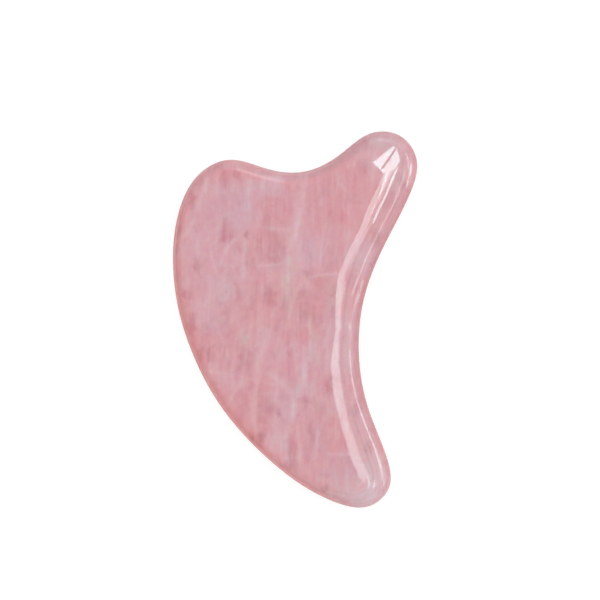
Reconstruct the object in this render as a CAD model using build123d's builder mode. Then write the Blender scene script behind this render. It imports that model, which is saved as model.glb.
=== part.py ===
from build123d import *
import math
import os

# Gua sha scraper: one hand tool carved from a single slab of rose quartz.
#
# The slab lies flat on its underside, in the plane z = 0, with the middle of its
# outline's bounding rectangle at the origin. +Z is up through the slab, and +Y
# runs along the tool, from the tail to the horn. The long convex scraping edge
# is on the -X side and the concave edge, which fits the neck and jaw, is on +X.
#
# Both faces are flat and parallel. All round the outline the edge is ground to
# a bullnose, part of an ellipse centred on the mid-plane. Its width is set point
# by point, narrow along the blade and the notch, and broad along the concave
# edge and around the two tips. Where it reaches a face it still slopes a few
# degrees, so that each face ends in a faint arris.

# Driving dimensions, in millimetres and degrees
SLAB_THICKNESS = 7.5
ARRIS_ANGLE = 84  # how far round the ellipse the bullnose runs before it meets a face
ROUND_STEPS = 7  # loft steps between the rim and each face

# Outline, counter-clockwise from the middle of the blade: x, y, width of the
# ground edge at that point.
OUTLINE = [
    # long convex scraping blade, middle to tail
    (-29.89, -0.50, 3.3),
    (-24.38, -13.64, 3.3),
    (-16.23, -25.82, 3.3),
    (-5.60, -36.18, 3.4),
    (6.67, -44.53, 3.7),
    # tail
    (18.58, -49.31, 4.5),
    (27.41, -49.21, 5.9),
    (32.12, -43.89, 7.0),
    # concave edge
    (30.46, -35.21, 8.0),
    (24.23, -22.44, 7.2),
    (20.81, -9.48, 6.3),
    (20.72, 4.10, 6.4),
    (24.25, 17.63, 7.0),
    # horn
    (30.83, 33.99, 7.6),
    (31.94, 43.08, 7.2),
    (27.28, 48.95, 7.0),
    (19.52, 49.45, 6.4),
    (11.47, 43.30, 4.1),
    # notch between the horn and the shoulder lobe
    (2.02, 37.68, 3.1),
    (-8.73, 37.48, 2.9),
    # shoulder lobe
    (-19.35, 38.92, 3.2),
    (-26.82, 34.63, 3.6),
    (-31.34, 25.53, 3.6),
    # blade, lobe to middle
    (-32.29, 13.37, 3.4),
]

half_thickness = SLAB_THICKNESS / 2
points = [Vector(x, y, 0) for x, y, _ in OUTLINE]
widths = [width for _, _, width in OUTLINE]

# Distance round the outline at each point, by chords. Every section of the
# bullnose is a spline on these same parameters, so that they loft evenly.
stations = [0.0]
for here, there in zip(points, points[1:] + points[:1]):
    stations.append(stations[-1] + (there - here).length)


def closed_spline(through):
    """A closed curve through one point for each station."""
    return Edge.make_spline(through, periodic=True, parameters=stations)


def inward_normals():
    """The rim's inward normal at each outline point."""
    rim = closed_spline(points)
    tangents = [rim.tangent_at(rim.param_at_point(point)) for point in points]
    return [Vector(-tangent.Y, tangent.X, 0).normalized() for tangent in tangents]


normals = inward_normals()


def section_height(angle):
    """Height above the underside, at this angle round the ellipse from the mid-plane."""
    rise = math.sin(math.radians(angle)) / math.sin(math.radians(ARRIS_ANGLE))
    return half_thickness + half_thickness * rise


def section_outline(angle):
    """The slab's outline at this angle: the rim, moved in by a share of the edge's width."""
    share = (1 - math.cos(math.radians(angle))) / (
        1 - math.cos(math.radians(ARRIS_ANGLE))
    )
    return closed_spline(
        [
            point + normal * (width * share)
            for point, normal, width in zip(points, normals, widths)
        ]
    )


# Scraper: lofted from the underside's flat face, out to the rim and back in to
# the upper flat face
with BuildPart() as stone_scraper:
    for step in range(-ROUND_STEPS, ROUND_STEPS + 1):
        angle = ARRIS_ANGLE * step / ROUND_STEPS
        with BuildSketch(Plane.XY.offset(section_height(angle))):
            with BuildLine():
                add(section_outline(angle))
            make_face()
    loft()

stone_scraper.part.label = "stone_scraper"
os.makedirs("parts", exist_ok=True)
export_step(stone_scraper.part, "parts/stone_scraper.step")
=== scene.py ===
# A hand-ground rose quartz scraper, lying flat on pale paper. The slab's thickness is
# along z and its length along y. The blade is the bulging side at -x, the hollow side
# faces +x, the horn is the corner at +x +y and the tail the one at +x -y.
import math

import bpy
import numpy as np
from mathutils import Matrix, Vector
from mathutils.geometry import delaunay_2d_cdt


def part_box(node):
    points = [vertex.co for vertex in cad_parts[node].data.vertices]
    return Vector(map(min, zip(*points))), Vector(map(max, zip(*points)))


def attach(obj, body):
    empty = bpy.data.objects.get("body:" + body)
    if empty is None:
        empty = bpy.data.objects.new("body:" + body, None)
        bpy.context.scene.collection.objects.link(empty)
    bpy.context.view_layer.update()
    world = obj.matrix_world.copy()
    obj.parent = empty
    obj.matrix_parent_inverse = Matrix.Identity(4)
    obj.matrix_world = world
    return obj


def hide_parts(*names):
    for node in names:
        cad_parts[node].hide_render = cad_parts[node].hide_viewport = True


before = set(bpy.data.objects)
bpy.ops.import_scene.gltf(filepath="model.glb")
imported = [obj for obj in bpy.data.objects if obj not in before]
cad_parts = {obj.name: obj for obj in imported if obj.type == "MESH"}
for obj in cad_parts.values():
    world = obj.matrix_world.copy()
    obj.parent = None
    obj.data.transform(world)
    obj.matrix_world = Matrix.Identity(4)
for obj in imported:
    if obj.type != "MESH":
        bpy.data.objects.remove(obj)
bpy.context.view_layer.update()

# The stone is built in millimetres and scaled to metres when its mesh is made.
MM = 0.001
low, high = [np.array(corner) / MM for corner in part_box("stone_scraper")]
MID = float(low[2] + high[2]) / 2  # height of the slab's middle plane
HALF = float(high[2] - low[2]) / 2  # half the slab's thickness

AROUND = 680  # vertices round the outline
ROUND = 66  # steps of the ground edge, face to face
RING_VERTS = (ROUND + 1) * AROUND
GRID = 0.45  # spacing of the vertices on the flat faces


def add(name, data):
    thing = bpy.data.objects.new(name, data)
    bpy.context.scene.collection.objects.link(thing)
    return thing


# ---------------------------------------------------------------- outline
# The CAD solid's own outline, counter-clockwise: x, y.
OUTLINE = np.array([
    (-29.89, -0.50), (-24.38, -13.64), (-16.23, -25.82), (-5.60, -36.18), (6.67, -44.53),
    (18.58, -49.31), (27.41, -49.21), (32.12, -43.89), (30.46, -35.21), (24.23, -22.44),
    (20.81, -9.48), (20.72, 4.10), (24.25, 17.63), (30.83, 33.99), (31.94, 43.08),
    (27.28, 48.95), (19.52, 49.45), (11.47, 43.30), (2.02, 37.68), (-8.73, 37.48),
    (-19.35, 38.92), (-26.82, 34.63), (-31.34, 25.53), (-32.29, 13.37),
])
# Ground edge: distance round the outline from the middle of the blade, width there.
EDGE = np.array([
    (0, 3.4), (14.3, 3.4), (29.0, 3.4), (43.8, 3.5), (58.7, 3.8), (71.5, 4.6), (80.4, 6.0),
    (87.5, 7.2), (94, 8.1), (98, 8.25), (101, 8.2), (104, 7.85), (107, 7.65), (110, 7.4),
    (113, 7.25), (116, 7.15), (119, 6.9), (121, 7.0), (123, 6.6), (125, 6.25), (127, 5.85),
    (128.5, 5.55), (130, 5.3), (131.5, 5.6), (133, 5.85), (135, 6.15), (137, 6.5), (139, 6.9),
    (141, 7.25), (143, 7.5), (145, 7.45), (148, 7.3), (151, 7.2), (154, 7.1), (157, 7.2),
    (160, 7.6), (163, 7.75), (167, 7.75), (171, 7.8), (175, 7.6), (179, 7.3), (184, 7.2),
    (189, 7.0), (193.5, 6.5), (198, 5.4), (203.6, 4.2), (214.6, 3.2), (225.4, 3.0), (236, 3.3),
    (244.6, 3.7), (254.8, 3.7), (267, 3.5),
])
# How crisply the ground edge meets a flat face: distance round the outline, degrees the
# rounding has turned through when it gets there. 90 runs in softly.
ARRIS = np.array([
    (0, 86), (40, 86), (76, 86), (86, 84), (93, 82.5), (112, 82.5), (120, 84), (125, 84),
    (130, 83), (134, 81), (143, 81), (148, 85), (156, 86), (162, 82), (174, 82), (184, 85),
    (196, 87), (215, 86), (250, 86),
])
INSET = 0.98  # share of the edge width that the rounding is drawn in by


def periodic_spline(values, knots):
    """Cubic spline through the values, closed and smooth everywhere."""
    n = len(values)
    spans = np.diff(knots)
    matrix = np.zeros((n, n))
    target = np.zeros((n, values.shape[1]))
    for i in range(n):
        before, after, following = spans[i - 1], spans[i], (i + 1) % n
        matrix[i, i - 1] += 1 / before
        matrix[i, i] += 2 / before + 2 / after
        matrix[i, following] += 1 / after
        target[i] = 3 * ((values[i] - values[i - 1]) / before ** 2
                         + (values[following] - values[i]) / after ** 2)
    slopes = np.linalg.solve(matrix, target)

    def at(where, slope=False):
        k = np.clip(np.searchsorted(knots, where, side="right") - 1, 0, n - 1)
        following = (k + 1) % n
        span = spans[k][:, None]
        s = ((where - knots[k]) / spans[k])[:, None]
        start, end = values[k], values[following]
        leave, arrive = slopes[k] * span, slopes[following] * span
        if slope:
            return ((6 * s ** 2 - 6 * s) * (start - end) + (3 * s ** 2 - 4 * s + 1) * leave
                    + (3 * s ** 2 - 2 * s) * arrive) / span
        return ((2 * s ** 3 - 3 * s ** 2 + 1) * start + (s ** 3 - 2 * s ** 2 + s) * leave
                + (3 * s ** 2 - 2 * s ** 3) * end + (s ** 3 - s ** 2) * arrive)

    return at


sides = np.linalg.norm(np.roll(OUTLINE, -1, axis=0) - OUTLINE, axis=1)
knots = np.concatenate([[0.0], np.cumsum(sides)])
GIRTH = knots[-1]  # once round the outline, in the stations of the tables
outline = periodic_spline(OUTLINE, knots)
width = periodic_spline(EDGE[:, 1:], np.append(EDGE[:, 0], GIRTH))

# even steps along the outline
fine = np.linspace(0, GIRTH, 8001)
pieces = np.linalg.norm(np.diff(outline(np.minimum(fine, GIRTH - 1e-9)), axis=0), axis=1)
run = np.concatenate([[0.0], np.cumsum(pieces)])
station = np.interp(np.arange(AROUND) * run[-1] / AROUND, run, fine)
rim = outline(station)
slopes = outline(station, slope=True)
inward = np.stack([-slopes[:, 1], slopes[:, 0]], axis=1)
inward *= width(station) * INSET / np.linalg.norm(inward, axis=1)[:, None]
meets = np.radians(np.interp(
    station, np.append(ARRIS[:, 0], GIRTH), np.append(ARRIS[:, 1], ARRIS[0, 1])))


def near(centre, spread):
    """A bump of height 1 round one station of the outline."""
    off = (station - centre + GIRTH / 2) % GIRTH - GIRTH / 2
    return np.exp(-(off / spread) ** 2)


# ------------------------------------------------------------- horn facet
# A small facet ground on top of the horn, folded along one line: the corner it starts
# from, and for each half which way it falls (degrees round from x) and by how many
# degrees. The second half falls that much further again.
CORNER = (21.0, 41.6)
FALLS = [(53.0, 7.0), (133.0, 5.0)]
FACET_FROM = (12, 32)  # the facet lies beyond this x and y
FACET_SOFT = 0.02  # rounding of the line where the facet starts


def horn_facet(points):
    """Heights of the points, ground down to the facet where they stand above it."""
    away = points[:, :2] - CORNER
    ways = [math.radians(way) for way, fall in FALLS]
    first, second = [away @ (math.cos(way), math.sin(way)) for way in ways]
    first_fall, second_fall = [math.tan(math.radians(fall)) for way, fall in FALLS]
    level = MID + HALF - first_fall * first - second_fall * np.clip(second, 0, None)
    over = level - points[:, 2]
    ground = points[:, 2] + 0.5 * (over - np.sqrt(over ** 2 + FACET_SOFT ** 2))
    x, y, z = points.T
    return np.where((z > MID) & (x > FACET_FROM[0]) & (y > FACET_FROM[1]), ground, z)


# ------------------------------------------------------------ ground edge
def waves(seed, count, around, across, u, v):
    """Sum of gentle waves, whole numbers of them round the outline."""
    rng = np.random.RandomState(seed)
    total = 0
    for _ in range(count):
        turns = rng.randint(around[0], around[1] + 1)
        rate = rng.uniform(*across)
        height = rng.uniform(0.5, 1.0)
        total = total + height * np.cos(turns * u + rate * v + rng.uniform(0, 2 * math.pi))
    return total / math.sqrt(count)


# ring by ring from the underside to the upper face
share = np.linspace(-1, 1, ROUND + 1)
rings = []
for step in share:
    angle = meets * step
    xy = rim + inward * ((1 - np.cos(angle)) / (1 - np.cos(meets)))[:, None]
    rings.append(np.column_stack([xy, MID + HALF * np.sin(angle) / np.sin(meets)]))
rings = np.array(rings)

# u is the angle once round the outline, v the angle across the edge
u, v = np.meshgrid(2 * math.pi * np.arange(AROUND) / AROUND, math.pi / 2 * share)


def wear():
    """How deep the hand grinding bites: facets, a slow swell and lengthwise ridges."""
    facet = waves(11, 7, around=(1, 6), across=(9.0, 17.0), u=u, v=v)
    swell = waves(12, 6, around=(5, 17), across=(0.5, 4.0), u=u, v=v)
    ridge = 0.003 + 0.010 * near(160, 14) + 0.003 * near(98, 8) + 0.005 * near(135, 14)
    ridges = ridge * (1 + np.cos(19.0 * v + 1.1 + 0.5 * np.sin(3 * u + 0.4)))
    fade = np.cos(v) ** 0.5
    depth = (0.006 * (1.4 + facet) + 0.012 * (1.6 + swell) + ridges) * fade
    return np.clip(depth, 0, None)  # only ever takes stone away


along = np.roll(rings, -1, axis=1) - np.roll(rings, 1, axis=1)
outward = np.cross(along, np.gradient(rings, axis=0))
outward /= np.linalg.norm(outward, axis=2)[..., None]
rings -= outward * wear()[..., None]
rings[..., 2] = horn_facet(rings.reshape(-1, 3)).reshape(ROUND + 1, AROUND)


# ------------------------------------------------------------- flat faces
def signed(points, loop):
    """Distance to the loop, positive inside it."""
    inside = np.zeros(len(points), bool)
    nearest = np.full(len(points), 1e9)
    for p, q in zip(loop, np.roll(loop, -1, axis=0)):
        crosses = (p[1] > points[:, 1]) != (q[1] > points[:, 1])
        with np.errstate(divide="ignore", invalid="ignore"):
            at = p[0] + (points[:, 1] - p[1]) * (q[0] - p[0]) / (q[1] - p[1])
        inside ^= crosses & (points[:, 0] < at)
        d = q - p
        s = np.clip(((points - p) @ d) / (d @ d), 0, 1)
        nearest = np.minimum(nearest, np.linalg.norm(points - p - s[:, None] * d, axis=1))
    return np.where(inside, nearest, -nearest)


def flat_mesh(loop):
    """Points and triangles of the area inside the loop, the loop's own points first."""
    (left, bottom), (right, top) = loop.min(axis=0), loop.max(axis=0)
    grid = []
    for i, y in enumerate(np.arange(bottom, top, GRID * math.sqrt(3) / 2)):
        x = np.arange(left + (i % 2) * GRID / 2, right, GRID)
        grid.append(np.column_stack([x, np.full(len(x), y)]))
    grid = np.concatenate(grid)
    grid = grid[signed(grid, loop) > GRID * 0.55]
    points = [Vector(p) for p in loop] + [Vector(p) for p in grid]
    result = delaunay_2d_cdt(points, [], [list(range(AROUND))], 1, 1e-6)
    xy = np.array([tuple(p) for p in result[0]])
    # the rings are joined on by index, so the order must have been kept
    assert len(xy) == len(points) and np.abs(xy[:AROUND] - loop).max() < 1e-5
    return xy, np.array(result[2])


def sag(xy, seed, count=9, depth=0.010):
    """Hand lapping leaves a face flat to a few hundredths of a millimetre."""
    rng = np.random.RandomState(seed)
    total = 0
    for _ in range(count):
        heading, wave = rng.uniform(0, math.pi), rng.uniform(13, 34)
        k = 2 * math.pi / wave * np.array([math.cos(heading), math.sin(heading)])
        total = total + np.cos(xy @ k + rng.uniform(0, 2 * math.pi))
    return depth * (1 + total / count)


loop = rings[-1][:, :2]
flat_xy, triangles = flat_mesh(loop)
inner_xy = flat_xy[AROUND:]
gap = signed(inner_xy, loop)
ease = 1 - np.exp(-(gap / 3.0) ** 2)  # the sag starts gently from the ground edge

verts, faces = [rings.reshape(-1, 3)], []
for r in range(ROUND):
    this, above = r * AROUND, (r + 1) * AROUND
    for c in range(AROUND):
        d = (c + 1) % AROUND
        faces.append((this + c, this + d, above + d, above + c))
first = RING_VERTS
for ring, side, seed in ((ROUND, 1, 3), (0, -1, 4)):
    inner = np.column_stack([inner_xy, MID + side * (HALF - sag(inner_xy, seed) * ease)])
    inner[:, 2] = horn_facet(inner)
    verts.append(inner)
    index = np.concatenate([ring * AROUND + np.arange(AROUND), first + np.arange(len(inner))])
    first += len(inner)
    faces += [tuple(face) for face in index[triangles][:, ::side].tolist()]
verts = np.concatenate(verts)
verts[:, 2] = np.clip(verts[:, 2], low[2], high[2])

mesh = bpy.data.meshes.new("rose_quartz_scraper")
mesh.from_pydata([tuple(p) for p in verts * MM], [], faces)
mesh.validate()
mesh.shade_smooth()
mesh.update()
stone = add("rose_quartz_scraper", mesh)


# -------------------------------------------------- attributes of the edge
def store(name, values):
    attribute = mesh.attributes.new(name, "FLOAT", "POINT")
    attribute.data.foreach_set("value", np.asarray(values, np.float32))


def on_edge(values, flats=0.0):
    """One value per vertex: these on the ground edge, the others on the flats."""
    ring_values = np.broadcast_to(values, (ROUND + 1, AROUND)).reshape(-1)
    return np.concatenate([ring_values, np.full(len(verts) - RING_VERTS, flats)])


# 1 at the middle of the ground edge, 0 on the flats
store("rim_near", on_edge(np.cos(v)))

# millimetres in from the rim, seen from above
FLAT_START = 3.4  # what the flats count up from
drawn_in = width(station)[:, 0] * (1 - np.cos(meets * share[:, None])) / (1 - np.cos(meets))
store("rim_gap", on_edge(drawn_in, flats=np.tile(gap, 2) + FLAT_START))

# place along and across the ground edge in millimetres, for marks that follow it
radius = run[-1] / (2 * math.pi)
edge_at = [on_edge(part) for part in (radius * np.cos(u), radius * np.sin(u), v * 6.0)]
attribute = mesh.attributes.new("edge_at", "FLOAT_VECTOR", "POINT")
attribute.data.foreach_set("vector", np.column_stack(edge_at).astype(np.float32).reshape(-1))

# ------------------------------------------------------------- inclusions
# The larger clouds inside the stone: those under the upper face, then those under the
# lower one. Each is x, y, half width, half length, strength and, where it isn't LEAN,
# its lean in degrees. Most are longer up the stone than across it.
LEAN = 4
ROSE = ([
    (-3.9, 26, 4.9, 4, 0.48, -8), (-0.3, 30.3, 1.1, 2.7, 0.6), (9.9, 28.6, 1.6, 2.4, 0.5),
    (12.9, 26.2, 1.9, 1.6, 0.45), (13.4, 17.7, 3.3, 5.8, 0.25), (2, -6.3, 1.4, 2.1, 0.5),
    (5.6, -6, 1.6, 2.7, 0.55), (2.7, -14.2, 1.6, 3.5, 0.4), (5.5, -11.8, 1.1, 2.7, 0.4),
    (9.8, -16.2, 1.6, 3.5, 0.35), (13.6, -18.6, 1.4, 2.7, 0.45), (16.9, -28.4, 1.4, 1.5, 0.42),
    (18.2, -33.1, 2.7, 2.4, 0.28), (-8.9, -1.4, 1.4, 1.9, 0.4), (16.6, 36.6, 3.8, 3.2, 0.26),
    (-16.7, 34.5, 2.5, 1.9, 0.3), (7.1, 29.1, 9.3, 8.5, 0.26), (5.9, -37.7, 1.6, 3.7, 0.4),
    (-10.2, -17, 3.8, 2.4, 0.2), (-1.2, -19.9, 4.4, 2.7, 0.14), (-17.4, 19.6, 1.9, 2.7, 0.4),
], [
    (-20, 24, 3, 4.5, 0.5), (-8, 30, 2.2, 3, 0.45), (3, 22, 3.4, 4.6, 0.45),
    (12, 10, 2.6, 3, 0.5), (8, -24, 1.6, 3.4, 0.55), (22, 36, 2.6, 4.2, 0.3),
    (26, -42, 2, 2.4, 0.5),
])
SMOKE = ([
    (-19, 33.7, 1, 2.1, 0.55), (-21.1, 37, 1.1, 1.3, 0.5), (-15.4, 34.8, 0.8, 1.3, 0.35),
    (-17.6, 21.3, 1.8, 1.9, 0.45), (-17.6, 18.5, 1.9, 2.1, 0.8, 0), (-11.3, 19.7, 0.7, 1.3, 0.8),
    (-3.3, 15.9, 2.7, 4, 0.5), (-7.9, 16, 1, 3.5, 0.4), (-7.7, 13.4, 0.8, 0.9, 0.45),
    (-24.8, 11.1, 1, 1.9, 0.8), (-27.6, 26.6, 1.1, 2.4, 0.6), (-30.4, 18.6, 0.8, 1.6, 0.55),
    (-30.3, 14.3, 0.8, 1.6, 0.5), (5.2, 10.8, 1.1, 0.8, 0.7, 0), (-4.1, 3.8, 1.2, 3.2, 0.8),
    (-8.5, 4, 1.4, 2.7, 0.38), (-12.6, 3.6, 1.1, 1.9, 0.28), (6, 4.7, 2.2, 1.1, 0.4, 0),
    (6.4, 0.5, 2.2, 2.1, 0.5, 0), (13.7, 1.2, 0.8, 1.9, 0.5), (13.3, 6.5, 0.8, 1.3, 0.45),
    (-0.4, 2.6, 1.4, 2.1, 0.28), (-26.7, 1.8, 1.1, 1.3, 0.5), (-24.5, -4.9, 1.6, 2.7, 0.75),
    (18.3, 38.9, 1.6, 2.1, 0.18), (29, 36.7, 1.1, 2.1, 0.6), (23.8, 21.3, 1.1, 2.1, 0.45),
    (11.8, 13.3, 1.6, 1.6, 0.35), (-21.6, -12.6, 1, 2.1, 0.8), (-18.3, -12.9, 1.2, 2.3, 0.8),
    (-8.9, -13.1, 1.5, 2.9, 0.6), (-10, -16.4, 0.8, 0.8, 0.4, 0), (-13.5, -14.3, 1.1, 1.6, 0.3),
    (-0.9, -3.9, 1.1, 2.1, 0.3), (-1.6, -11.7, 0.8, 1.1, 0.65), (14.6, -18, 0.7, 2.7, 0.45),
    (-1.8, -25.3, 1.9, 2.4, 0.42), (-3.4, -28.4, 1.4, 1.3, 0.32), (-8.2, -26.9, 1.9, 2.4, 0.4),
    (1.1, -26.6, 0.5, 1.1, 0.7), (8.5, -23, 1.4, 0.8, 0.4, 0), (13, -25, 1.4, 1.9, 0.3),
    (10.8, -30.6, 0.8, 3.2, 0.42), (-3.8, -34, 1.6, 1.6, 0.8), (5.5, -36.4, 1.4, 3.2, 0.5),
    (6, -41.1, 1.9, 2.1, 0.85), (15.6, -41.9, 1.1, 0.8, 0.5, 0), (16, -45.3, 1.4, 1.1, 0.6, 0),
    (19.3, -39.9, 3.8, 3.2, 0.14), (21.8, -24.2, 1.1, 1.6, 0.5), (26.5, -34, 1.1, 1.9, 0.4),
], [
    (-14, 8, 1.8, 3.4, 0.8), (-23, -3, 2.4, 2.6, 0.55), (2, -3, 2, 4.4, 0.65),
    (-10, -20, 2.8, 3.6, 0.6), (16, -37, 2.6, 3, 0.5), (-4, 14, 1.2, 1.6, 0.7),
    (12, -10, 1, 2.4, 0.6), (-24, 14, 1.2, 2.2, 0.6), (6, 32, 1.6, 1.2, 0.5),
])
MILK = ([
    (-10.8, 32.6, 2.5, 1.6, 0.5), (-4.8, 33.7, 2.2, 1.3, 0.4), (-16.6, 4.9, 2.2, 3.2, 0.6),
    (-19.1, -3.9, 3.8, 2.1, 0.5), (-12.6, -2.8, 2.7, 2.1, 0.5), (-10, -7.3, 1.6, 1.9, 0.75),
    (23.8, 48.2, 5.5, 2.1, 0.5, 10), (29.9, 41.8, 1.9, 6.4, 0.3), (24.2, -44.8, 5.5, 3.5, 0.3),
    (17, -43.5, 6, 3.5, 0.22), (28.4, -40.2, 2.5, 4.8, 0.3), (-17.2, 30.9, 7.1, 1.9, 0.2),
], [
    (-22, 14, 4, 5, 0.45), (0, 8, 3, 7, 0.45), (10, -14, 3, 6, 0.5), (14, 30, 3, 5, 0.4),
    (-12, -10, 2.4, 3.4, 0.6),
])
MIST = ([
    (0.8, 7, 2.3, 6.2, 0.6), (-16.5, 3.8, 2.2, 2.9, 0.35), (-10.2, -8.4, 1.4, 1.9, 0.7),
    (8.8, -8.1, 1.1, 4.8, 0.75), (6.6, -20.8, 1.6, 2.7, 0.35), (13.1, 4.9, 2.2, 3.2, 0.6),
    (-12.9, 31.3, 0.8, 3.2, 0.3), (23, -43.9, 4.7, 2.9, 0.3), (23.4, 46.3, 5.5, 3.2, 0.15),
    (-10.9, 12.3, 0.5, 4.8, 0.5), (17.7, -9.1, 0.8, 8, 0.35),
], [
    (-6, -12, 2, 5, 0.6), (-2, 34, 3, 1.8, 0.5), (18, -28, 2, 5, 0.5), (-16, 22, 1.6, 4, 0.5),
])
LILAC = ([
    (-17.4, 26.9, 7.7, 6.9, 0.75), (5.7, 17, 2.5, 4.3, 0.6), (12.7, -2.7, 2.2, 5.8, 0.6),
    (2.7, -26.5, 3.3, 5.3, 0.55), (11.6, -33.2, 3.8, 4.3, 0.5), (-18.2, -4.3, 3.8, 3.7, 0.5),
    (-21.9, 5.7, 3.3, 2.1, 0.35), (-8.5, 31.7, 6, 2.1, 0.5), (20, -39.5, 5.5, 5, 0.5),
], [
    (-12, 20, 7, 7, 0.6), (8, -20, 5, 9, 0.6), (14, 18, 5, 8, 0.5),
])
# Healed cracks under the upper face, as pale threads: x, y of both ends, half width, strength
THREADS = [
    (2.6, 36.5, 0.6, 16, 1.2, 0.62), (0.5, 16.5, 0.4, 3.3, 1.7, 0.25),
    (2.5, 25.8, 2.9, 11.4, 0.8, 0.28), (4.9, 35.6, 6.4, 21.9, 0.48, 0.25),
    (7.1, 35.3, 8.1, 23.9, 0.4, 0.22), (-23.6, 34.6, -25.7, 23.5, 0.8, 0.4),
    (-25.7, 24.1, -29.2, 17.3, 0.66, 0.35), (-21.4, 34.3, -21.4, 27.9, 1.06, 0.3),
    (-18.4, 10, -14, 19, 0.45, 0.45), (-22.2, 18.8, -18.8, 7.9, 0.43, 0.35),
    (-25.5, 18.5, -23.5, 8.5, 0.43, 0.3), (-11.7, 18.6, -11.2, 6.4, 0.58, 0.4),
    (-12.1, 34.6, -12.3, 24.7, 0.8, 0.25), (5.8, 9.8, 15, 11.4, 0.29, 0.5),
    (-8.6, 10.9, -1.1, 13.2, 0.32, 0.4), (-7.9, 21.9, 0.9, 21.4, 0.53, 0.35),
    (-26.7, -16.8, -10.7, -18.1, 0.32, 0.28), (-10.7, -18.1, 1.3, -19.4, 0.32, 0.28),
    (-10.9, -22.1, 8.8, -20.9, 0.32, 0.2), (15.2, -36.8, 22, -36, 0.43, 0.4),
    (-5.8, -17.1, -5.4, -30.9, 0.8, 0.4), (-3.7, -4.1, -5.8, -17.6, 0.66, 0.35),
    (-3.7, -15.6, 5.6, -22, 0.8, 0.4), (7.9, -11.1, 4.6, -29.5, 0.93, 0.45),
    (4.3, -28.5, 2.6, -37.7, 0.8, 0.35), (6.2, -28.3, 8.3, -39.3, 0.53, 0.3),
    (12.9, -29.3, 12.4, -39.5, 0.66, 0.35), (7.5, 0.3, 8.4, -12.9, 0.66, 0.4),
    (-12.6, -14.5, -17.8, -5.9, 0.4, 0.28), (11.7, 36.2, 16.3, 31.3, 0.4, 0.3),
    (15.7, 31.8, 20.4, 31.4, 0.4, 0.3), (11.4, 20.7, 8.5, 13.5, 0.4, 0.25),
    (-13.3, -28.4, -9.8, -18.5, 0.53, 0.3), (-15, 11.9, -10.3, 2.2, 0.4, 0.22),
    (-5.9, 2.6, -6.3, -5.4, 0.48, 0.25), (13.1, 29.7, 18, 24.5, 0.4, 0.22),
]


def ripple(points, seed, wave, amount):
    """A smooth, seeded shift of the points, so that no cloud has a plain outline."""
    rng = np.random.RandomState(seed)
    shift = np.zeros_like(points)
    for axis in range(3):
        for _ in range(6):
            k = rng.normal(size=3)
            k *= 2 * math.pi / (rng.uniform(0.6, 1.6) * wave) / np.linalg.norm(k)
            shift[:, axis] += np.sin(points @ k + rng.uniform(0, 2 * math.pi))
    return points + shift * amount / math.sqrt(6)


def smooth(x, start, end):
    x = np.clip((x - start) / (end - start), 0, 1)
    return x * x * (3 - 2 * x)


def on_side(points, side):
    """1 towards the upper face (side 1) or the lower one (side -1), 0 towards the other."""
    return smooth(side * (points[:, 2] - MID), -1.6, 1.6)


def clouds(tables, points, soft):
    """How strongly each point lies in one of the clouds, whose edges are this soft."""
    total = np.zeros(len(points))
    for side, table in zip((1, -1), tables):
        here = on_side(points, side)
        for x, y, half_width, half_length, strength, *own_lean in table:
            lean = math.radians(own_lean[0] if own_lean else LEAN)
            c, s = math.cos(lean), math.sin(lean)
            dx, dy = (points[:, :2] - (x, y)).T
            across = np.abs(c * dx + s * dy) / half_width
            up = np.abs(c * dy - s * dx) / half_length
            r = (across ** 2.5 + up ** 2.5) ** 0.4
            total = np.maximum(total, strength * smooth(r, 1 + soft, 1 - soft) * here)
    return total


def threads(table, points, side):
    total = np.zeros(len(points))
    for x0, y0, x1, y1, half_width, strength in table:
        start, reach = np.array([x0, y0]), np.array([x1 - x0, y1 - y0])
        d = points[:, :2] - start
        s = d @ reach / (reach @ reach)
        off = np.linalg.norm(d - np.clip(s, 0, 1)[:, None] * reach, axis=1)
        line = np.exp(-(off / half_width) ** 2) * smooth(np.abs(s - 0.5), 0.62, 0.30)
        total = np.maximum(total, strength * line)
    return total * on_side(points, side)


def lower_threads():
    """Threads strewn under the lower face, in the columns of THREADS."""
    rng = np.random.RandomState(31)
    table = []
    for _ in range(34):
        x, y = rng.uniform(-26, 24), rng.uniform(-38, 34)
        lean, reach = math.radians(rng.normal(6, 14)), rng.uniform(3, 9)
        dx, dy = reach * math.sin(lean), reach * math.cos(lean)
        half_width, strength = rng.uniform(0.3, 0.9), rng.uniform(0.2, 0.5)
        table.append((x - dx, y - dy, x + dx, y + dy, half_width, strength))
    return table


wavy = ripple(ripple(verts, 21, wave=7.0, amount=0.55), 22, wave=2.2, amount=0.30)
store("rose", clouds(ROSE, wavy, soft=0.38))
store("smoke", clouds(SMOKE, wavy, soft=0.42))
store("milk", clouds(MILK, ripple(wavy, 23, wave=3.0, amount=0.5), soft=0.75))
store("mist", clouds(MIST, ripple(wavy, 24, wave=3.0, amount=0.5), soft=0.60))
store("lilac", clouds(LILAC, ripple(wavy, 25, wave=5.0, amount=0.8), soft=0.60))
bent = ripple(verts, 26, wave=9.0, amount=0.35)
store("threads", threads(THREADS, bent, 1) + threads(lower_threads(), bent, -1))
# where the ground edge is milkiest, most finely lined, and where its rim on the hollow side takes
# painted shade
store("milky_edge", on_edge(near(82, 14)))
store("lined", on_edge(np.clip(near(160, 16) + near(90, 8), 0, 1)))
store("hollow_side_shade", on_edge(np.clip(1.3 * near(133, 40), 0, 1)))
# the blade side of the rim is painted browner and darker than the rest: painted shade on the side
# turned away from the lights
towards_blade = np.clip((4.0 - verts[:, 0] - 0.45 * verts[:, 1]) / 20.0, 0, 1)
store("blade_side", towards_blade * np.clip((36.0 - verts[:, 1]) / 12.0, 0.35, 1))

# ----------------------------------------------------------- node helpers
quartz = bpy.data.materials.new("rose_quartz")
quartz.use_nodes = True
quartz.node_tree.nodes.clear()


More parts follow.
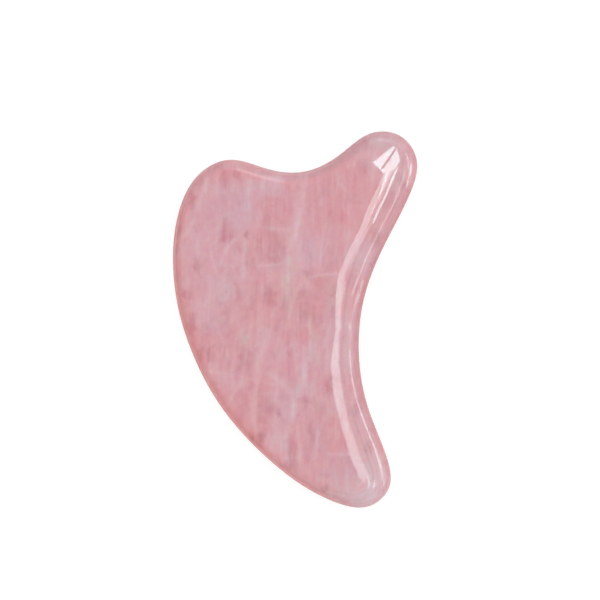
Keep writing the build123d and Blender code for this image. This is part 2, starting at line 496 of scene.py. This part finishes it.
def plug(socket, value):
    """Links another node's output to the socket, or sets its value."""
    if isinstance(value, bpy.types.NodeSocket):
        socket.id_data.links.new(value, socket)
    else:
        socket.default_value = value


def node(kind, inputs={}, tree=quartz.node_tree, **settings):
    n = tree.nodes.new(kind)
    for key, value in settings.items():
        setattr(n, key, value)
    for key, value in inputs.items():
        if value is not None:
            plug(n.inputs[key], value)
    return n


def vec(operation, a, b=None, scale=None):
    n = node("ShaderNodeVectorMath", {0: a, 1: b, "Scale": scale}, operation=operation)
    return n.outputs["Value" if operation == "DOT_PRODUCT" else "Vector"]


def num(operation, a, b=None, clamp=False):
    return node("ShaderNodeMath", {0: a, 1: b}, operation=operation, use_clamp=clamp).outputs[0]


def times(*values):
    total = values[0]
    for value in values[1:]:
        total = num("MULTIPLY", total, value)
    return total


def ramp(value, start, end, to=(0.0, 1.0)):
    """Eases between the two values of to while value goes from start to end."""
    return node("ShaderNodeMapRange", {0: value, 1: start, 2: end, 3: to[0], 4: to[1]},
                interpolation_type="SMOOTHSTEP", clamp=True).outputs[0]


def noise(where, scale, detail=2.0, roughness=0.5, distortion=0.0, output="Fac"):
    return node("ShaderNodeTexNoise", {
        "Vector": where, "Scale": scale, "Detail": detail, "Roughness": roughness,
        "Distortion": distortion}, noise_dimensions="3D").outputs[output]


def mix(factor, a, b):
    a, b = [(*value, 1.0) if isinstance(value, tuple) else value for value in (a, b)]
    return node("ShaderNodeMix", {0: factor, 6: a, 7: b},
                data_type="RGBA", clamp_factor=True).outputs[2]


def tint(colour, by):
    return vec("MULTIPLY", colour, by)


def tinted(colour, by, factor):
    """The colour, tinted by as much as the factor says."""
    return mix(factor, colour, tint(colour, by))


def spun(where, degrees, stretch, offset=(0, 0, 0)):
    """The point turned about the slab's normal and moved, then stretched."""
    n = node("ShaderNodeMapping", {
        "Vector": where, "Rotation": (0, 0, math.radians(degrees)), "Location": offset,
    }, vector_type="POINT")
    return vec("MULTIPLY", n.outputs[0], stretch)


def wobble(where, scale, amount):
    shift = noise(where, scale, detail=1.0, output="Color")
    return vec("ADD", where, vec("SCALE", vec("SUBTRACT", shift, (0.5, 0.5, 0.5)), scale=amount))


def stored(name, output="Fac"):
    return node("ShaderNodeAttribute", attribute_name=name).outputs[output]


def edge_noise(stretch, scale, **settings):
    """Noise that follows the ground edge, stretched round it (x, y) and across it (z)."""
    return noise(vec("MULTIPLY", stored("edge_at", "Vector"), stretch), scale, **settings)


# ------------------------------------------------------------ rose quartz
# Texture space is in millimetres. The clouds are read a little below the surface,
# along the line of sight as the polished face bends it, so they sit inside the stone.
IOR = 1.544
surface = vec("SCALE", node("ShaderNodeTexCoord").outputs["Object"], scale=1 / MM)
geometry = node("ShaderNodeNewGeometry").outputs
sight = vec("REFRACT", vec("SCALE", geometry["Incoming"], scale=-1.0), geometry["Normal"],
            scale=1 / IOR)
shallow, middle, deep = [
    vec("ADD", surface, vec("SCALE", sight, scale=depth)) for depth in (0.4, 1.6, 3.6)]
near_rim = stored("rim_near")
edge_zone = ramp(near_rim, 0.12, 0.45)

SALMON = (0.723975, 0.36051, 0.394)
COOL = (0.71905, 0.39597, 0.44128)
# tints, which multiply red, green and blue
ROSY = (0.975, 0.74, 0.77)
SMOKY = (0.82, 0.685, 0.70)
MILKY = (1.00, 1.21, 1.19)
MISTY = (0.91, 1.12, 1.04)
LILAC_TINT = (0.945, 1.06, 1.125)
# painted shade for the blade side's rim
BROWN_SHADE = (1.05, 0.92, 0.87)
PALE = (1.04, 1.26, 1.24)

# Healed fractures, thin pale sheets, mostly upright: degrees of turn, stretch across and
# along, half width of the line, offset, then scale, start and end of the noise that
# breaks them up, strength, where they are read.
SHEETS = (
    (-2, 0.105, 0.016, 0.040, (3, 8, 1), 0.10, 0.44, 0.58, 0.30, shallow),
    (5, 0.190, 0.022, 0.050, (40, 11, 7), 0.13, 0.46, 0.60, 0.26, shallow),
    (-9, 0.270, 0.026, 0.060, (9, 71, 3), 0.12, 0.47, 0.60, 0.22, shallow),
    (18, 0.210, 0.030, 0.045, (61, 5, 29), 0.11, 0.52, 0.64, 0.22, middle),
    (-76, 0.120, 0.026, 0.026, (17, 33, 51), 0.10, 0.57, 0.66, 0.20, shallow),
)


def mottled():
    """The two pinks in a broad drift, with soft mottling a little longer up the stone."""
    tone = noise(deep, 0.050, distortion=0.3)
    colour = mix(ramp(tone, 0.36, 0.64), SALMON, COOL)
    large = noise(spun(wobble(middle, 0.2, amount=1.5), 4, (1.0, 0.62, 1.0)),
                  0.26, detail=3.0, roughness=0.62)
    colour = tinted(colour, SMOKY, ramp(large, 0.50, 0.28, to=(0.0, 0.33)))
    colour = tinted(colour, MILKY, ramp(large, 0.54, 0.74, to=(0.0, 0.32)))
    small = noise(spun(wobble(shallow, 0.3, amount=0.8), 4, (1.0, 0.55, 1.0)),
                  0.62, roughness=0.55)
    colour = tinted(colour, SMOKY, ramp(small, 0.47, 0.22, to=(0.0, 0.20)))
    return tinted(colour, MILKY, ramp(small, 0.54, 0.80, to=(0.0, 0.28)))


def clouded(colour):
    """The clouds, each with its own cast, and an upright grain strongest inside them."""
    rose, smoke = stored("rose"), stored("smoke")
    fibres = noise(spun(wobble(shallow, 0.08, amount=1.0), -5, (1.0, 0.075, 0.6)),
                   1.35, roughness=0.55)
    strands = noise(spun(wobble(shallow, 0.06, amount=1.6), -4, (1.0, 0.10, 0.6)), 0.62)
    broken = ramp(noise(middle, 0.45), 0.30, 0.55, to=(0.64, 0.93))
    stranded = ramp(strands, 0.32, 0.66, to=(1.15, 0.55))
    patchy = ramp(noise(deep, 0.22), 0.3, 0.6, to=(0.5, 1.0))
    colour = tinted(colour, LILAC_TINT, times(stored("lilac"), patchy))
    colour = tinted(colour, MISTY, times(stored("mist"), broken, 0.85))
    colour = tinted(colour, MILKY, times(stored("milk"), broken, 0.80))
    colour = tinted(colour, ROSY, times(rose, broken, stranded))
    colour = tinted(colour, SMOKY, times(smoke, broken, stranded))

    drift = ramp(noise(surface, 0.085, detail=1.0), 0.42, 0.62, to=(0.25, 0.8))
    zone = num("ADD", drift, num("MAXIMUM", rose, smoke), clamp=True)
    colour = tinted(colour, PALE, times(ramp(fibres, 0.50, 0.75), zone, 0.26))
    colour = tinted(colour, SMOKY, times(ramp(fibres, 0.50, 0.25), zone, 0.24))
    return tinted(colour, PALE, times(ramp(strands, 0.50, 0.75), zone, 0.32))


def cracked(colour):
    """Healed cracks, as soft pale threads and as sheets through the stone."""
    patchy = ramp(noise(surface, 0.50), 0.30, 0.52, to=(0.55, 1.0))
    colour = tinted(colour, PALE, times(stored("threads"), patchy, 1.5))
    for degrees, across, along, half, offset, scale, start, end, strength, where in SHEETS:
        at = spun(wobble(where, 0.10, amount=1.2), degrees, (across, along, across * 0.7), offset)
        off = num("ABSOLUTE", num("SUBTRACT", noise(at, 1.0, detail=1.0, roughness=0.35), 0.5))
        line = ramp(off, half, 0.0)
        patches = ramp(noise(vec("ADD", where, offset), scale), start, end)
        colour = tinted(colour, PALE, times(times(line, patches), strength))
    return colour


def speckled(colour):
    """Speckle of the finest crystals, then a slight shift between cool and warm."""
    speck = ramp(noise(shallow, 1.2, roughness=0.6), 0.30, 0.70)
    colour = mix(speck, tint(colour, (1.00, 0.962, 0.968)), tint(colour, (0.995, 1.028, 1.022)))
    apart = vec("ADD", middle, (31.0, 17.0, 5.0))
    cast = ramp(noise(apart, 0.7, detail=3.0, roughness=0.65), 0.36, 0.64)
    return mix(cast, tint(colour, (1.00, 0.990, 1.024)), tint(colour, (1.00, 1.010, 0.978)))


def edged(colour):
    """The ground edge: clouds drawn out along it, and a rim painted redder, browner and darker as
    painted shade.
    """
    streaks = edge_noise((0.030, 0.030, 1.15), 1.0, roughness=0.6)
    colour = tinted(colour, SMOKY, times(ramp(streaks, 0.50, 0.28), edge_zone, 0.48))
    colour = tinted(colour, MILKY, times(ramp(streaks, 0.56, 0.76), edge_zone, 0.40))
    blade, gap_in = stored("blade_side"), stored("rim_gap")
    for by, factor in (
            ((0.92, 0.985, 0.98), times(edge_zone, num("SUBTRACT", 1.0, blade))),
            ((1.03, 1.18, 1.16), times(ramp(near_rim, 0.10, 0.45), stored("milky_edge"))),
            # painted shade: the rim darker and redder where its rounding turns away from the lights
            ((1.00, 0.93, 0.94), ramp(gap_in, 1.8, 0.6)),
            # painted shade: the hollow side's rim darker
            ((0.90, 0.885, 0.885), times(ramp(gap_in, 2.0, 0.8), stored("hollow_side_shade"))),
            # painted shade: the very rim darker still
            ((0.95, 0.90, 0.87), ramp(gap_in, 0.9, 0.1)),
            # painted shade: the blade side's rim browner and darker, with its red lifted
            (BROWN_SHADE, times(ramp(gap_in, 4.4, 1.4), blade)),
            ((1.12, 0.96, 0.90), times(ramp(gap_in, 1.6, 0.3), blade))):
        colour = tinted(colour, by, factor)
    return colour


def facet_line():
    """The line left beside the horn facet: 1 along it, fading at its sides and ends."""
    way_x, way_y = 0.466, 0.885
    beside = vec("SUBTRACT", surface, (25.2, 43.0, 0.0))
    across = num("ABSOLUTE", vec("DOT_PRODUCT", beside, (way_y, -way_x, 0.0)))
    along = num("ABSOLUTE", vec("DOT_PRODUCT", beside, (way_x, way_y, 0.0)))
    return ramp(across, 0.34, 0.0), ramp(along, 3.6, 2.6)


def relief():
    """Height of the polished surface in millimetres; the last number of each is its depth."""
    hair = ramp(noise(spun(surface, 20, (6.0, 0.35, 6.0)), 1.2), 0.60, 0.72)
    cells = node("ShaderNodeTexVoronoi", {"Vector": surface, "Scale": 0.45},
                 feature="F1", voronoi_dimensions="3D").outputs
    pick = node("ShaderNodeSeparateColor", {0: cells["Color"]}).outputs[1]
    pit = times(ramp(cells["Distance"], 0.10, 0.03), ramp(pick, 0.80, 0.84))
    ground = edge_noise((0.05, 0.05, 1.0), 0.9)
    lines = edge_noise((0.012, 0.012, 1.5), 1.0, detail=1.0, roughness=0.4)
    height = times(noise(surface, 0.9, detail=3.0), 0.006)
    for part in (
            times(ground, edge_zone, 0.016),
            times(lines, stored("lined"), ramp(near_rim, 0.06, 0.16), 0.028),
            times(*facet_line(), -0.045),
            times(hair, -0.0006),
            times(pit, -0.03)):
        height = num("ADD", height, part)
    return height


def polish():
    """Roughness, slightly uneven."""
    smear = noise(surface, 0.22, detail=3.0, roughness=0.6, distortion=0.8)
    return num("ADD", ramp(smear, 0.30, 0.75, to=(0.035, 0.08)),
               ramp(noise(surface, 3.5), 0.3, 0.7, to=(0.0, 0.02)))


# at the very rim the polish is thinner, which keeps the outline from going white
facing = vec("DOT_PRODUCT", geometry["Incoming"], geometry["Normal"])
skim = times(ramp(facing, 0.55, 0.15), ramp(near_rim, 0.55, 0.95))
bump = node("ShaderNodeBump", {"Strength": 1.0, "Distance": MM, "Height": relief()})
shader = node("ShaderNodeBsdfPrincipled", {
    "Base Color": edged(speckled(cracked(clouded(mottled())))),
    "IOR": IOR,
    "Specular IOR Level": ramp(skim, 0.0, 1.0, to=(0.5, 0.04)),
    "Specular Tint": (0.72, 1.0, 0.98, 1.0),
    "Subsurface Weight": 1.0,
    "Subsurface Radius": (1.0, 0.45, 0.5),
    "Subsurface Scale": 0.003,
    "Roughness": polish(),
    "Normal": bump.outputs[0],
})
node("ShaderNodeOutputMaterial", {"Surface": shader.outputs[0]})
mesh.materials.append(quartz)

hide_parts("stone_scraper")
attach(stone, "root")


# ------------------------------------------------------------------ floor
def pale_paper():
    """White paper, exposed so that the camera sees little more of it than its shadows."""
    paper = bpy.data.materials.new("pale_paper")
    paper.use_nodes = True
    tree = paper.node_tree
    sheet = tree.nodes["Principled BSDF"].inputs
    camera_ray = node("ShaderNodeLightPath", tree=tree).outputs["Is Camera Ray"]
    for name, unseen, seen in (("Base Color", 0.93, 0.22), ("Emission Strength", 0.0, 0.83)):
        pick = node("ShaderNodeMapRange", {0: camera_ray, 3: unseen, 4: seen}, tree)
        plug(sheet[name], pick.outputs[0])
    fibre = node("ShaderNodeTexNoise", {"Scale": 900.0}, tree).outputs["Fac"]
    tooth = node("ShaderNodeBump", {"Strength": 0.1, "Distance": 0.0001, "Height": fibre}, tree)
    plug(sheet["Normal"], tooth.outputs[0])
    plug(sheet["Roughness"], 0.9)
    plug(sheet["Specular IOR Level"], 0.0)
    plug(sheet["Emission Color"], (1, 1, 1, 1))
    return paper


FLOOR_RADIUS, FLOOR_SIDES = 2.5, 64  # metres
turns = [2 * math.pi * i / FLOOR_SIDES for i in range(FLOOR_SIDES)]
disc = [(FLOOR_RADIUS * math.cos(a), FLOOR_RADIUS * math.sin(a), 0.0) for a in turns]
floor_mesh = bpy.data.meshes.new("floor")
floor_mesh.from_pydata(disc, [], [tuple(range(FLOOR_SIDES))])
floor = add("floor", floor_mesh)
floor_mesh.materials.append(pale_paper())

# ----------------------------------------------------------------- lights
# RIGHT and UP are the camera's own directions, laid on the floor.
RIGHT = Vector((0.9960, 0.0889, 0.0))
UP = Vector((-RIGHT.y, RIGHT.x, 0.0))
HIGH = Vector((0, 0, 1))
CENTRE = Vector((0, 0, MID * MM))
HORN = Vector((27 * MM, 42 * MM, 2 * MID * MM))
TAIL = Vector((28 * MM, -44 * MM, 2 * MID * MM))

# Name, tilt in degrees towards RIGHT from overhead, swing in degrees towards UP,
# distance in metres, degrees wide and tall as the stone sees it, radiance.
SOFTBOXES = (
    ("overhead_softbox", 0, -0.05, 1.2, 21, 7.1, 4.0),
    ("overhead_top", -3.75, 6.5, 1.2, 13.5, 6.0, 4.0),
    ("overhead_foot", -3.0, -5.55, 1.2, 15, 3.9, 3.4),
    ("side_strip", 46.5, 14, 1.2, 6, 32, 6.2),
    ("low_strip", 32.5, -15, 1.0, 7, 14, 3.0),
    ("back_strip", -7, 38, 1.2, 12, 26, 2.0),
)
# Small gridded lights that matter only as reflections in the polish near them:
# the same columns, then the place they face and their roll in degrees.
CARDS = (
    ("horn_card", -5.4, 12.5, 0.25, 8.2, 20, 10.4, HORN, -20),
    ("horn_side_card", 64, -5, 0.06, 8, 20, 8.5, HORN, 0),
    ("horn_edge_card", 63, -19, 0.60, 5, 14, 4.2, HORN, 0),
    ("horn_edge_card_2", 56, -13, 0.60, 4, 22, 5.4, HORN, 0),
    ("horn_line_1", -4.8, -4, 0.10, 2.2, 17, 9.5, HORN, 0),
    ("horn_line_2", 7.0, -9, 0.10, 2.2, 15, 11.0, HORN, -20),
    ("tail_line_1", 9, -9, 0.08, 2.6, 24, 11.0, TAIL, 0),
    ("tail_line_2", 23, -11, 0.08, 2.8, 26, 13.0, TAIL, 0),
    ("tail_line_3", 60, -8, 0.08, 5.5, 34, 6.2, TAIL, 6),
)
CARD_GRID = math.radians(35.0)  # half the spread of a card's light


def stand(thing, at, facing, roll=0.0):
    """Puts a light or camera at a place, looking back along facing."""
    z = facing.normalized()
    y = (UP - z * UP.dot(z)).normalized()
    x = y.cross(z)
    c, s = math.cos(math.radians(roll)), math.sin(math.radians(roll))
    x, y = x * c + y * s, y * c - x * s
    thing.matrix_world = Matrix.Translation(at) @ Matrix((x, y, z)).transposed().to_4x4()


def softbox(name, tilt, swing, distance, wide, tall, radiance, about=CENTRE, roll=0.0,
            card=False):
    tilt, swing = math.radians(tilt), math.radians(swing)
    way = RIGHT * math.sin(tilt) + HIGH * math.cos(tilt)
    way = way * math.cos(swing) + UP * math.sin(swing)
    light = bpy.data.lights.new(name, "AREA")
    light.shape = "RECTANGLE"
    light.color = (0.84, 1.0, 0.99)
    size = [2 * distance * math.tan(math.radians(d) / 2) for d in (wide, tall)]
    light.size, light.size_y = size
    light.energy = radiance * math.pi * size[0] * size[1]
    if card:
        light.spread = 2 * CARD_GRID
        light.energy *= 1 - CARD_GRID / math.tan(CARD_GRID)
    box = add(name, light)
    box.visible_camera = False
    box.visible_diffuse = not card
    stand(box, about + way * distance, way, roll)


for row in SOFTBOXES:
    softbox(*row)
for row in CARDS:
    softbox(*row, card=True)


# ------------------------------------------------------------------ world
def studio():
    """A pale room, darker on the blade's side; the camera itself sees plain white."""
    world = bpy.data.worlds.new("studio")
    bpy.context.scene.world = world
    world.use_nodes = True
    tree = world.node_tree
    direction = node("ShaderNodeTexCoord", tree=tree).outputs["Generated"]
    lean = node("ShaderNodeVectorMath", {0: direction, 1: RIGHT}, tree, operation="DOT_PRODUCT")
    # brightness goes from 0.45 to 1 as the direction leans from -0.75 to 0.35
    room = node("ShaderNodeMapRange", {0: lean.outputs["Value"], 1: -0.75, 2: 0.35, 3: 0.45, 4: 1.0},
                tree, interpolation_type="SMOOTHSTEP")
    camera_ray = node("ShaderNodeLightPath", tree=tree).outputs["Is Camera Ray"]
    shown = node("ShaderNodeMix", {0: camera_ray, 2: room.outputs[0], 3: 1.0}, tree,
                 data_type="FLOAT")
    background = tree.nodes["Background"].inputs
    plug(background["Strength"], shown.outputs[0])
    plug(background["Color"], (1, 1, 1, 1))


studio()

# ----------------------------------------------------------------- camera
TILT = math.radians(14.0)  # towards RIGHT from overhead
DISTANCE = 2.0
VIEW_WIDTH = 0.15942  # metres across the view at the stone
SENSOR = 36.0
camera_data = bpy.data.cameras.new("camera")
camera = add("camera", camera_data)
toward = RIGHT * math.sin(TILT) + HIGH * math.cos(TILT)
stand(camera, CENTRE + toward * DISTANCE, toward)
camera_data.sensor_width = SENSOR
camera_data.lens = SENSOR * DISTANCE / VIEW_WIDTH
# shares of the view's width
camera_data.shift_x, camera_data.shift_y = 0.02316667, 0.01966667
camera_data.clip_start, camera_data.clip_end = 0.01, 20.0
bpy.context.scene.camera = camera

bpy.context.scene.view_settings.view_transform = "Standard"
